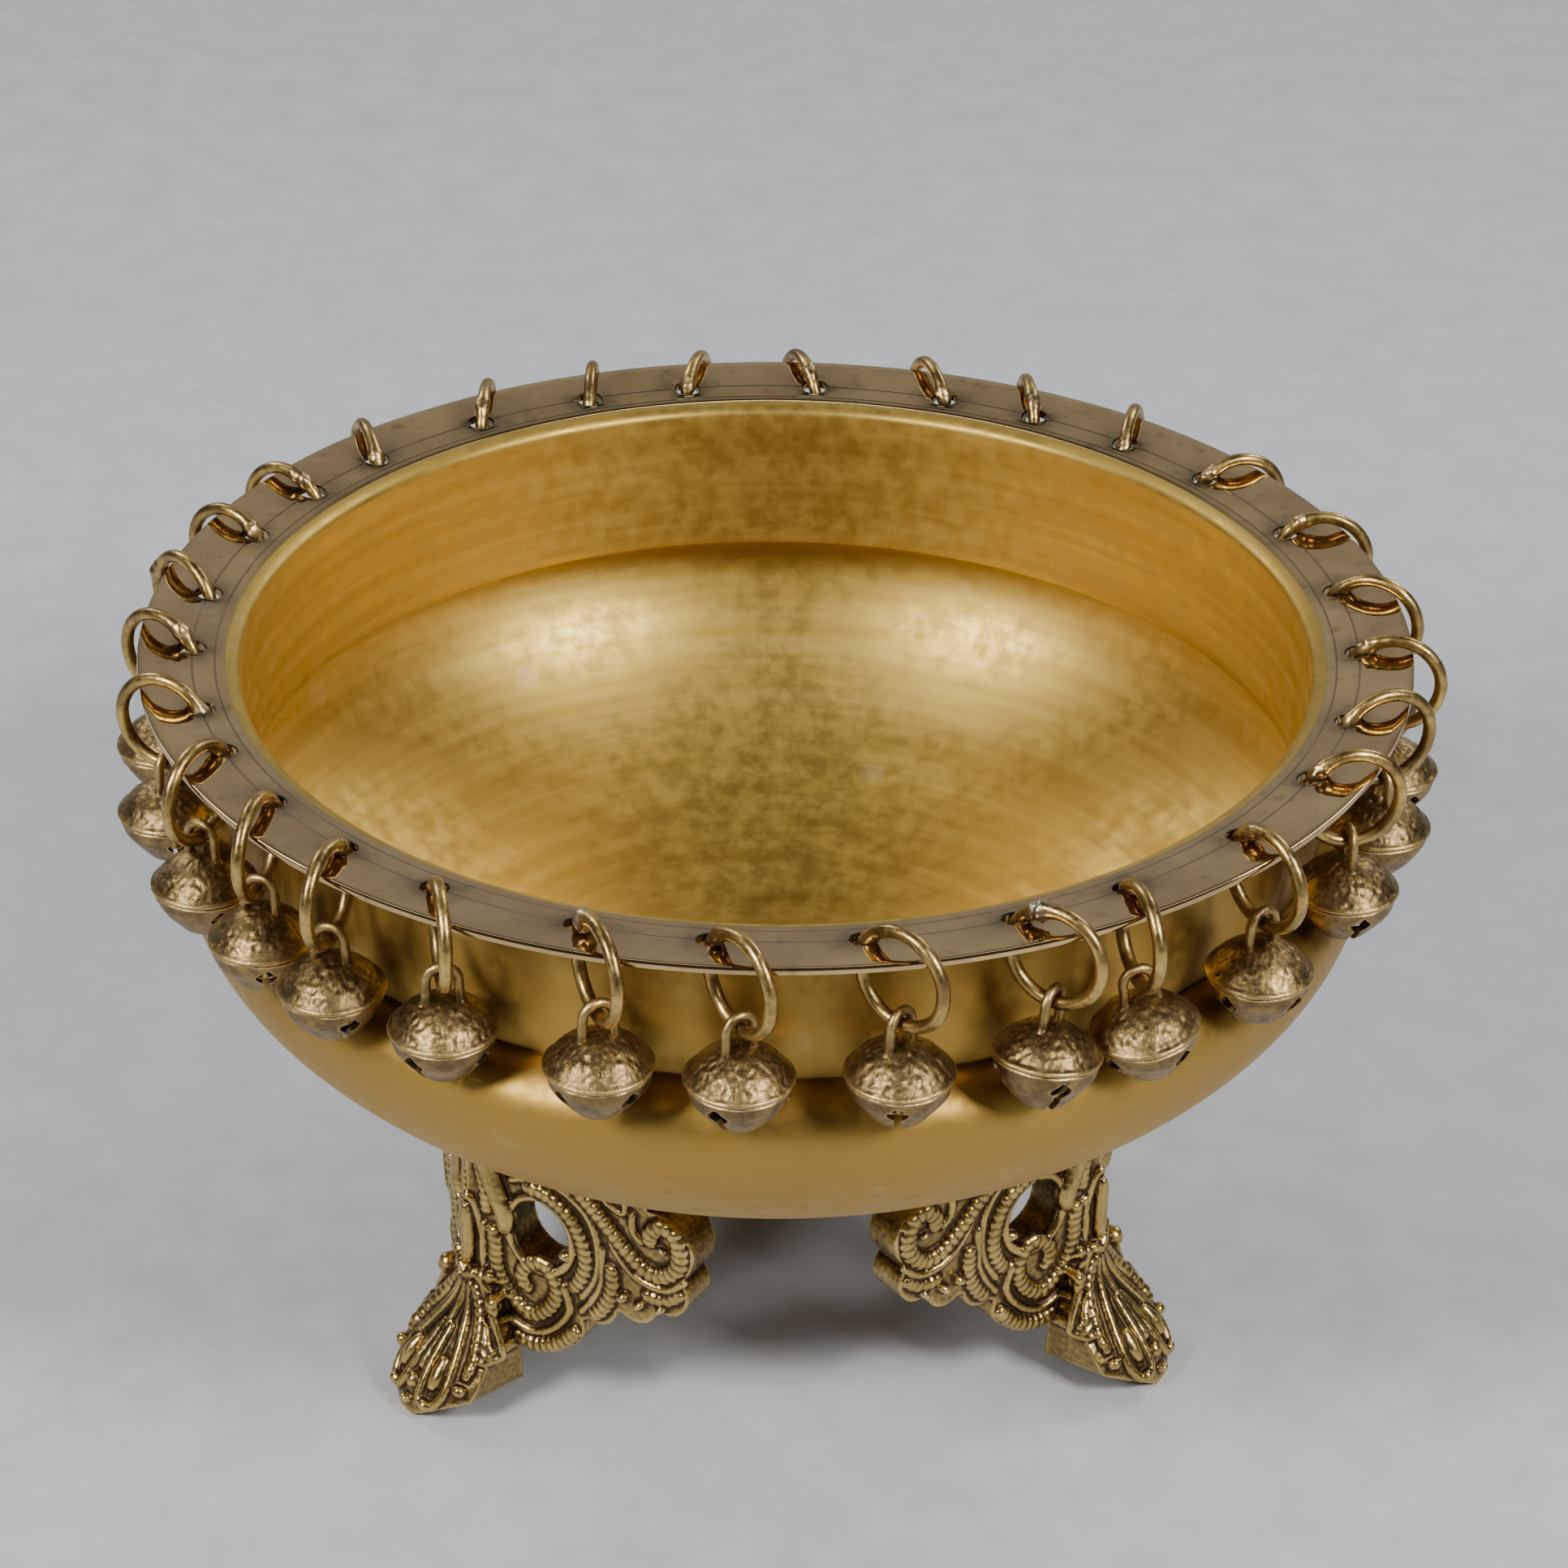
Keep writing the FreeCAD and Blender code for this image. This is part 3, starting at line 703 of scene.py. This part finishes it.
def tube(path, radii, sides, closed=False, up=None, flat=1.0):
    """Points and faces of a tube along a path; radii may vary along it."""
    path = np.asarray(path, float)
    count = len(path)
    if closed:
        tangents = np.roll(path, -1, 0) - np.roll(path, 1, 0)
    else:
        tangents = np.gradient(path, axis=0)
    tangents /= np.linalg.norm(tangents, axis=1)[:, None]
    points = []
    side = np.asarray(up, float)
    for place, tangent, radius in zip(path, tangents, radii):
        side = side - tangent * side.dot(tangent)
        side /= np.linalg.norm(side)
        other = np.cross(tangent, side)
        for step in range(sides):
            angle = 2 * math.pi * step / sides
            points.append(place + radius * (math.cos(angle) * side + flat * math.sin(angle) * other))
    faces = grid_faces(count, sides, wrap_rows=closed)
    if not closed:
        for row, turned in ((0, True), (count - 1, False)):
            cap = [row * sides + step for step in range(sides)]
            faces.append(tuple(cap[::-1] if turned else cap))
    return np.array(points), faces


def box_middle(node):
    low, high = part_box(node)
    return np.array((low + high) / 2) / MM


def make_ring(number, material):
    """A bent wire ring whose ends are brazed together in a lump."""
    node = "ring_%02d" % number
    centre = box_middle(node)
    axis = np.array(joint("bell_%02d_swing" % number)["axis"], float)
    axis /= np.linalg.norm(axis)
    heading = math.radians(HOLE_ANGLES[number - 1] + RING_TURNS[number - 1])
    along = np.array([math.cos(heading), math.sin(heading), 0.0])
    along -= axis * along.dot(axis)
    along /= np.linalg.norm(along)
    up = np.cross(along, axis)
    if up[2] < 0:
        up = -up
    lump_at, lump_size = RING_LUMPS.get(number, (math.radians(118 + 9 * (number * 7 % 5)), 0.3))
    path, radii, solder = [], [], []
    for step in range(RING_STEPS):
        angle = 2 * math.pi * step / RING_STEPS
        point = np.array([math.cos(angle), math.sin(angle)])
        seed = Vector((point[0] * 0.8, point[1] * 0.8, number * 3.7))
        reach = RING_RADIUS + 0.1 * noise.noise(seed)
        off_plane = 0.16 * noise.noise(seed + Vector((9.0, 4.0, 0.0)))
        away = math.remainder(angle - lump_at, 2 * math.pi)
        swell = lump_size * math.exp(-((away / 0.26) ** 2)) * (1.0 + 0.5 * noise.noise(seed * 9.0))
        notch = 0.1 * math.exp(-(((away - 0.3) / 0.05) ** 2))
        fine = 0.02 * noise.noise(Vector((point[0] * 7, point[1] * 7, number * 1.3)))
        path.append(centre + along * point[0] * reach + up * point[1] * reach + axis * off_plane)
        radii.append(WIRE_RADIUS * (1.0 + swell - notch + fine))
        solder.append(math.exp(-((away / 0.2) ** 2)))
    points, faces = tube(path, radii, WIRE_SIDES, closed=True, up=axis)
    for index in range(len(points)):
        row = index // WIRE_SIDES
        if solder[row] > 0.05:
            rough = noise.noise(Vector(points[index] - centre) * 0.9)
            points[index] += (points[index] - path[row]) * 0.28 * solder[row] * rough
    ring = make_object(node + "_wire", points * MM, faces, material)
    share = SOLDER_SHINE.get(number, DULL_SOLDER)
    set_attribute(ring, "solder", [share * solder[index // WIRE_SIDES] for index in range(len(points))])
    return ring


# ----------------------------------------------------------------------- bells
def spline(knots, steps):
    """Catmull-Rom points through the knots."""
    knots = [np.array(k, float) for k in knots]
    padded = [2 * knots[0] - knots[1]] + knots + [2 * knots[-1] - knots[-2]]
    points = []
    for index in range(len(knots) - 1):
        a, b, c, d = padded[index:index + 4]
        square = 2 * a - 5 * b + 4 * c - d
        cube = 3 * b - a - 3 * c + d
        for step in range(steps):
            t = step / steps
            points.append(0.5 * (2 * b + (c - a) * t + square * t * t + cube * t ** 3))
    points.append(knots[-1])
    return points


def bell_profile():
    """Closed half section of the bell's sheet: outside down, then inside up."""
    seam = -BELL_DROP
    crown = seam + BELL_DOME_HEIGHT
    bottom = seam - BELL_CUP_HEIGHT
    radius = BELL_RADIUS
    outside = spline([
        (0.0, crown), (0.36 * radius, crown - 0.1 * BELL_DOME_HEIGHT),
        (0.72 * radius, seam + 0.55 * BELL_DOME_HEIGHT), (radius - 0.75, seam + 1.05),
    ], 9)
    outside += [np.array(p) for p in (
        (radius - 0.3, seam + 0.78), (radius - 0.05, seam + 0.52), (radius, seam + 0.25),
        (radius - 0.12, seam + 0.02), (radius - 0.5, seam - 0.06), (radius - 0.72, seam - 0.2),
        (radius - 0.5, seam - 0.36), (radius - 0.38, seam - 0.6),
    )]
    outside += spline([
        (radius - 0.55, seam - 1.0), (0.86 * radius, seam - 0.38 * BELL_CUP_HEIGHT),
        (BELL_BOTTOM_RADIUS + 1.8, bottom + 1.2), (BELL_BOTTOM_RADIUS, bottom + 0.12),
    ], 10)
    outside += [np.array((1.6, bottom)), np.array((0.0, bottom))]
    inner = radius - BELL_WALL
    inside = [
        (0.0, bottom + BELL_WALL), (BELL_BOTTOM_RADIUS, bottom + BELL_WALL),
        (0.8 * inner, seam - 0.42 * BELL_CUP_HEIGHT), (inner - 0.5, seam),
        (0.7 * inner, seam + 0.4 * BELL_DOME_HEIGHT), (0.36 * inner, crown - BELL_WALL - 0.6),
        (0.0, crown - BELL_WALL),
    ]
    return outside, [np.array(p) for p in inside]


def lathe_part(profile, columns, start):
    """Points and faces of a profile that starts and ends on the axis."""
    turn = np.linspace(0, 2 * math.pi, columns, endpoint=False)
    points = [(0.0, 0.0, profile[0][1])]
    for radius, height in profile[1:-1]:
        points += [(radius * math.cos(a), radius * math.sin(a), height) for a in turn]
    points.append((0.0, 0.0, profile[-1][1]))
    rows = len(profile) - 2
    faces = grid_faces(rows, columns, start=start + 1)
    end = start + len(points) - 1
    for column in range(columns):
        after = (column + 1) % columns
        faces.append((start, start + 1 + after, start + 1 + column))
        low = start + 1 + (rows - 1) * columns
        faces.append((low + column, low + after, end))
    return points, [face[::-1] for face in faces]


def plain_mesh_object(name, points, faces):
    mesh = bpy.data.meshes.new(name)
    mesh.from_pydata([tuple(map(float, p)) for p in points], [], faces)
    mesh.validate()
    made = bpy.data.objects.new(name, mesh)
    bpy.context.scene.collection.objects.link(made)
    return made


def cut_tool():
    """The four slits and their round holes, as closed pieces."""
    points, faces = [], []
    seam = -BELL_DROP
    bottom = seam - BELL_CUP_HEIGHT - 1.0
    sides = 20
    for quarter in range(4):
        turn = Matrix.Rotation(math.pi / 2 * quarter, 3, "Z")
        start = len(points)
        for depth in (2.0, BELL_RADIUS + 1.0):
            for step in range(sides):
                angle = 2 * math.pi * step / sides
                square = 1.0 + 0.1 * math.cos(4 * angle)
                hole = Vector((
                    depth, SLIT_HOLE_RADIUS * square * math.cos(angle),
                    seam - SLIT_HOLE_DROP + SLIT_HOLE_RADIUS * square * math.sin(angle),
                ))
                points.append(turn @ hole)
        faces += [tuple(start + step for step in range(sides))[::-1]]
        faces += [tuple(start + sides + step for step in range(sides))]
        faces += grid_faces(2, sides, start=start)
        if quarter < 2:
            start = len(points)
            half = SLIT_WIDTH / 2
            reach = BELL_RADIUS + 1.0
            for height in (bottom, seam - SLIT_HOLE_DROP):
                for x, y in ((-reach, -half), (reach, -half), (reach, half), (-reach, half)):
                    points.append(turn @ Vector((x, y, height)))
            faces += [(start + 3, start + 2, start + 1, start), tuple(start + 4 + k for k in range(4))]
            faces += grid_faces(2, 4, start=start)
    return points, faces


def bell_blank():
    """The slit shell every bell starts from, as arrays of points and faces."""
    outside, inside = bell_profile()
    points, faces = lathe_part(outside, 144, 0)
    more, more_faces = lathe_part(inside, 48, len(points))
    blank = plain_mesh_object("bell_blank", points + more, faces + more_faces)
    tool = plain_mesh_object("bell_tool", *cut_tool())
    cut = blank.modifiers.new("slits", "BOOLEAN")
    cut.operation = "DIFFERENCE"
    cut.solver = "EXACT"
    cut.use_self = True
    cut.object = tool
    result = blank.evaluated_get(bpy.context.evaluated_depsgraph_get())
    mesh = bpy.data.meshes.new_from_object(result)
    points = np.array([v.co for v in mesh.vertices])
    faces = [tuple(p.vertices) for p in mesh.polygons]
    for made in (blank, tool):
        bpy.data.objects.remove(made)
    return points, faces


def loop_tube():
    """Loop over the ring's wire, its feet swelling where they are brazed on."""
    arch = WIRE_RADIUS + LOOP_GAP + LOOP_WIRE_RADIUS - LOOP_RADIUS
    foot = -BELL_DROP + BELL_DOME_HEIGHT * 0.72
    path, radii = [], []
    legs, bends = 9, 24

    def leg(side, share):
        path.append((0, side * (LOOP_RADIUS + 0.25 * (1 - share)), foot + (arch - foot) * share))
        radii.append(LOOP_WIRE_RADIUS * (1.0 + 0.85 * math.exp(-((share / 0.16) ** 2))))

    for step in range(legs):
        leg(-1, step / legs)
    for step in range(bends + 1):
        angle = math.pi * (1 - step / bends)
        path.append((0, LOOP_RADIUS * math.cos(angle), arch + LOOP_RADIUS * math.sin(angle)))
        radii.append(LOOP_WIRE_RADIUS)
    for step in range(legs):
        leg(1, 1 - (step + 1) / legs)
    return tube(path, radii, 18, up=(1, 0, 0))


def pellet_ball():
    rows, columns = 13, 20
    rest = -BELL_DROP - BELL_CUP_HEIGHT + BELL_WALL + PELLET_RADIUS + 0.05
    profile = []
    for row in range(rows + 1):
        angle = math.pi * row / rows
        profile.append((PELLET_RADIUS * math.sin(angle), rest + PELLET_RADIUS * math.cos(angle)))
    return lathe_part(profile, columns, 0)


def hammered(points, number):
    """Beats pits into the dome and draws faint hoops round the cup."""
    seam = -BELL_DROP
    shift = Vector((number * 13.7, number * 5.1, number * 2.9))
    beaten = points.copy()
    for index, point in enumerate(points):
        radius = math.hypot(point[0], point[1])
        if point[2] > seam + 0.9 and radius > 0.5:
            place = Vector(point)
            nearest = noise.voronoi(place * 0.62 + shift)[0][0]
            pit = -0.3 * max(0.0, 1.0 - nearest / 0.55) ** 1.5
            grain = 0.14 * noise.fractal(place * 0.9 + shift, 0.8, 2.0, 3)
            fade = min(1.0, (point[2] - seam - 0.9) / 0.5)
            out = np.array([point[0] / radius * 0.45, point[1] / radius * 0.45, 0.89])
            beaten[index] += out * (pit + grain) * fade
        elif point[2] > seam - 0.5:
            wave = 0.1 * noise.noise(Vector(point) * 0.5 + shift)
            beaten[index] += np.array([point[0], point[1], 0]) / max(radius, 1) * wave
            beaten[index][2] += 0.12 * noise.noise(Vector((point[0] * 0.3, point[1] * 0.3, number * 1.7)))
        elif radius > BELL_BOTTOM_RADIUS:
            hoop = 0.05 * noise.noise(Vector((point[0] * 0.05, point[1] * 0.05, point[2] * 2.4 + number)))
            dent = 0.16 * noise.noise(Vector(point) * 0.3 + shift)
            beaten[index] += np.array([point[0], point[1], 0]) / radius * (hoop + dent)
    return beaten


def make_bell(number, blank, material):
    node = "bell_%02d" % number
    heading = HOLE_ANGLES[number - 1] + RING_TURNS[number - 1]
    hook = box_middle("ring_%02d" % number) - np.array([0, 0, RING_RADIUS])
    shell, shell_faces = blank
    parts = [(turned(hammered(shell, number), BELL_TURNS[number - 1] - heading), shell_faces)]
    loop, loop_faces = loop_tube()
    seed = Vector((number * 2.1, 0, 0))
    for index, point in enumerate(loop):
        loop[index] += 0.1 * np.array(noise.noise_vector(Vector(point) * 0.4 + seed))
    parts.append((loop, loop_faces))
    ball, ball_faces = pellet_ball()
    parts.append((np.array(ball), ball_faces))
    points, faces = [], []
    for part_points, part_faces in parts:
        start = len(points)
        points += list(part_points)
        faces += [tuple(start + corner for corner in face) for face in part_faces]
    turn = Matrix.Rotation(math.radians(heading), 3, "Z")
    lean = Matrix.Rotation(math.radians(BELL_LEANS.get(number, 0.0)), 3, "X")
    points = np.array(points) @ np.array(turn @ lean).T + hook
    bell = make_object(node + "_crotal", points * MM, faces, material, 38.0)
    set_attribute(bell, "cavity", cavity_of(bell.data, 6, 0.0004))
    return bell


# ------------------------------------------------------------------------ feet
def belly_height(radius):
    """Height of the belly's outer surface at a distance from the axis."""
    share = min(radius / BELLY_RADIUS, 1.0) ** BELLY_POWER
    return RIM_HEIGHT - BELLY_DEPTH - BELLY_HEIGHT * (1.0 - share) ** (1.0 / BELLY_POWER)


def turned(points, degrees, about=0.0):
    """Points turned about an upright axis that crosses X at about."""
    angle = math.radians(degrees)
    shift = np.array([about, 0.0, 0.0])
    spin = np.array([
        [math.cos(angle), -math.sin(angle), 0],
        [math.sin(angle), math.cos(angle), 0],
        [0, 0, 1],
    ])
    return (np.asarray(points) - shift) @ spin.T + shift


def foot_blank(azimuth, twist):
    """The frame's plain foot, turned onto +X, as points in mm and faces."""
    node = frame["nodes"]["feet"]
    mesh = bmesh.new()
    mesh.from_mesh(node.data)
    mesh.transform(node.matrix_world)
    bmesh.ops.scale(mesh, vec=(1 / MM, 1 / MM, 1 / MM), verts=mesh.verts)
    bmesh.ops.remove_doubles(mesh, verts=mesh.verts, dist=0.002)
    other = []
    for vert in mesh.verts:
        angle = math.degrees(math.atan2(vert.co.y, vert.co.x))
        if abs((angle - azimuth + 180) % 360 - 180) > 60:
            other.append(vert)
    bmesh.ops.delete(mesh, geom=other, context="VERTS")
    mesh.verts.index_update()
    points = np.array([vert.co for vert in mesh.verts])
    faces = [[vert.index for vert in face.verts] for face in mesh.faces]
    mesh.free()
    points = turned(turned(points, -azimuth), -twist, RIDGE_AXIS_RADIUS)
    return points, faces


def evenly(points, step):
    """The same course with points a step apart."""
    points = np.asarray(points, float)
    lengths = np.linalg.norm(np.diff(points, axis=0), axis=1)
    along = np.concatenate([[0.0], np.cumsum(lengths)])
    count = max(4, int(round(along[-1] / step)))
    places = np.linspace(0, along[-1], count + 1)
    return np.column_stack([np.interp(places, along, column) for column in points.T]), places


def relief(course, radius, ribbed, land, outward):
    """A raised line along a course, half sunk into the surface under it."""
    course, places = evenly(spline(course, 12), 0.3)
    path = np.array([land(aside, height) for aside, height in course])
    for _ in range(3):
        path[1:-1] = (path[:-2] + 2 * path[1:-1] + path[2:]) / 4
    ends = np.minimum(places, places[-1] - places)
    radii = radius * np.minimum(1.0, 0.45 + 0.55 * np.sqrt(ends / (1.5 * radius)))
    if ribbed:
        radii = radii * (1.0 - RIB_DEPTH * (1.0 - np.abs(np.sin(math.pi * places / RIB_PITCH))))
    path = path + np.asarray(outward) * radius * 0.25
    return tube(path, radii, 14, up=outward, flat=ROPE_FLATNESS if ribbed else 1.0)


def foot_relief(tree):
    """Every raised part of a foot's ornament, as (points, faces) of tubes."""
    parts = []

    def lander(start, side, direction):
        def land(aside, height):
            origin = start + side * aside + np.array([0, 0, height])
            hit = tree.ray_cast(Vector(origin - direction * 30.0), Vector(direction), 34.5)[0]
            return np.array(hit) if hit is not None else origin
        return land

    for side in (-1, 1):
        away = math.radians(side * (180 - WING_HALF_ANGLE))
        facing = math.radians(side * (90 - WING_HALF_ANGLE))
        along = np.array([math.cos(away), math.sin(away), 0.0])
        outward = np.array([math.cos(facing), math.sin(facing), 0.0])
        start = np.array([RIDGE_AXIS_RADIUS, 0.0, 0.0]) + outward * WING_FACE
        land = lander(start, along, -outward)
        for radius, ribbed, course in WING_RELIEF:
            parts.append(relief(course, radius, ribbed, land, outward))
        middle, height, tall, wide = WING_PIERCING
        rim = []
        for step in range(25):
            angle = 2 * math.pi * step / 24
            rim.append((middle + (wide + 0.7) * math.sin(angle), height + (tall + 0.7) * math.cos(angle)))
        parts.append(relief(rim, 0.95, False, land, outward))
        seam = []
        for step in range(14):
            aside = 1.0 + 3.0 * step
            reach = np.linalg.norm(start + along * aside)
            seam.append((aside, belly_height(reach) - 0.4 + 0.5 * math.sin(2.3 * step)))
        parts.append(relief(seam, 1.3, False, land, outward))

    ahead = np.array([1.0, 0.0, 0.0])
    land = lander(np.array([RIDGE_AXIS_RADIUS + 4.0, 0.0, 0.0]), np.array([0.0, 1.0, 0.0]), -ahead)
    for mirror in (-1, 1):
        for radius, ribbed, course in TOE_RELIEF:
            parts.append(relief([(mirror * a, h) for a, h in course], radius, ribbed, land, ahead))
    for radius, ribbed, course in TOE_STEM:
        parts.append(relief(course, radius, ribbed, land, ahead))
    return parts


def make_foot(name, azimuth, twist, material):
    """A cast foot: the plain foot and its relief, melted into one skin."""
    points, faces = foot_blank(azimuth, twist)
    tree = BVHTree.FromPolygons([tuple(p) for p in points], faces)
    points, faces = list(points), list(faces)
    for part_points, part_faces in foot_relief(tree):
        start = len(points)
        points += list(part_points)
        faces += [[start + corner for corner in face] for face in part_faces]
    rough = plain_mesh_object("foot_rough", points, faces)
    remesh = rough.modifiers.new("one_skin", "REMESH")
    remesh.mode = "VOXEL"
    remesh.voxel_size = FOOT_VOXEL
    skin = bpy.data.meshes.new_from_object(rough.evaluated_get(bpy.context.evaluated_depsgraph_get()))
    bpy.data.objects.remove(rough)
    points, normals, _ = mesh_arrays(skin)
    faces = [tuple(polygon.vertices) for polygon in skin.polygons]
    seed = Vector((azimuth, 0.0, 0.0))
    for index in range(len(points)):
        place = Vector(points[index])
        lift = 0.12 * noise.noise(place * 0.22 + seed) + 0.05 * noise.noise(place * 0.9 + seed)
        points[index] += normals[index] * lift
    # The top runs up into the belly, and the sole stays flat on the floor.
    reach = np.hypot(points[:, 0], points[:, 1])
    belly = np.array([belly_height(r) for r in reach])
    over = points[:, 2] > belly - 0.7
    points[over, 2] = np.minimum(points[over, 2] + 0.8, belly[over] + 1.6)
    points[points[:, 2] < 0.2, 2] = 0.0
    points = turned(turned(points, twist, RIDGE_AXIS_RADIUS), azimuth)
    foot = make_object(name, points * MM, faces, material, 60.0)
    set_attribute(foot, "cavity", cavity_of(foot.data, 9, 0.0006))
    return foot


# ----------------------------------------------------------------------- scene
MATERIALS = {
    "turned_brass": turned_brass(),
    "ring_brass": wire_brass(),
    "bell_brass": bell_brass(),
    "cast_brass": cast_brass(),
}

bowl = make_bowl()
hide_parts("bowl")
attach(bowl, "bowl_and_feet")

for number in range(1, len(HOLE_ANGLES) + 1):
    ring = make_ring(number, MATERIALS["ring_brass"])
    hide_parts("ring_%02d" % number)
    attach(ring, "ring_%02d" % number)

blank = bell_blank()
for number in range(1, len(HOLE_ANGLES) + 1):
    bell = make_bell(number, blank, MATERIALS["bell_brass"])
    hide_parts("bell_%02d" % number)
    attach(bell, "bell_%02d" % number)

for number, (azimuth, twist) in enumerate(zip(FOOT_AZIMUTHS, FOOT_TWISTS), 1):
    foot = make_foot("foot_%d_cast" % number, azimuth, twist, MATERIALS["cast_brass"])
    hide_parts("feet")
    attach(foot, "bowl_and_feet")


def add_light(name, place, target, size, power, tint=(1.0, 1.0, 1.0)):
    lamp = bpy.data.lights.new(name, "AREA")
    lamp.shape = "RECTANGLE"
    lamp.size, lamp.size_y = size
    lamp.energy = power
    lamp.color = tint
    made = bpy.data.objects.new(name, lamp)
    made.location = place
    aim = Vector(target) - Vector(place)
    made.rotation_euler = aim.to_track_quat("-Z", "Y").to_euler()
    bpy.context.scene.collection.objects.link(made)
    return made


def add_floor():
    half, back, rise, curve = 3.0, 1.6, 2.0, 0.4
    points = [(-half, -half, 0), (half, -half, 0)]
    for step in range(13):
        angle = math.pi / 2 * step / 12
        y, z = back + curve * math.sin(angle), curve * (1 - math.cos(angle))
        points += [(-half, y, z), (half, y, z)]
    points += [(-half, back + curve, rise), (half, back + curve, rise)]
    faces = [(k, k + 1, k + 3, k + 2) for k in range(0, len(points) - 2, 2)]
    return make_object("studio_floor", points, faces, floor_paper())


floor = add_floor()

add_light("softbox_left", (-0.82, -0.74, 0.98), (0, 0, 0.1), (0.35, 0.38), 19.0)
add_light("softbox_right", (0.82, -0.74, 0.98), (0, 0, 0.1), (0.35, 0.38), 19.0)
add_light("back_left", (-0.7, 0.7, 0.9), (0, 0, 0.1), (0.3, 0.5), 4.0)
add_light("back_right", (0.7, 0.7, 0.9), (0, 0, 0.1), (0.3, 0.5), 4.0)
add_light("back_wall_wash", (0.0, 1.2, 1.6), (0, 1.9, 0.6), (1.6, 0.4), 6.0)

world = bpy.data.worlds.new("studio")
world.use_nodes = True
world.node_tree.nodes["Background"].inputs[0].default_value = (0.60, 0.62, 0.68, 1.0)
world.node_tree.nodes["Background"].inputs[1].default_value = 0.1
bpy.context.scene.world = world

lens = bpy.data.cameras.new("camera")
lens.lens = 103.16
lens.sensor_width = 36.0
camera = bpy.data.objects.new("camera", lens)
camera.location = (0.0, -0.79344, 0.58280)
camera.rotation_euler = tuple(math.radians(a) for a in (59.8457, -0.4673, 0.1377))
bpy.context.scene.collection.objects.link(camera)
bpy.context.scene.camera = camera
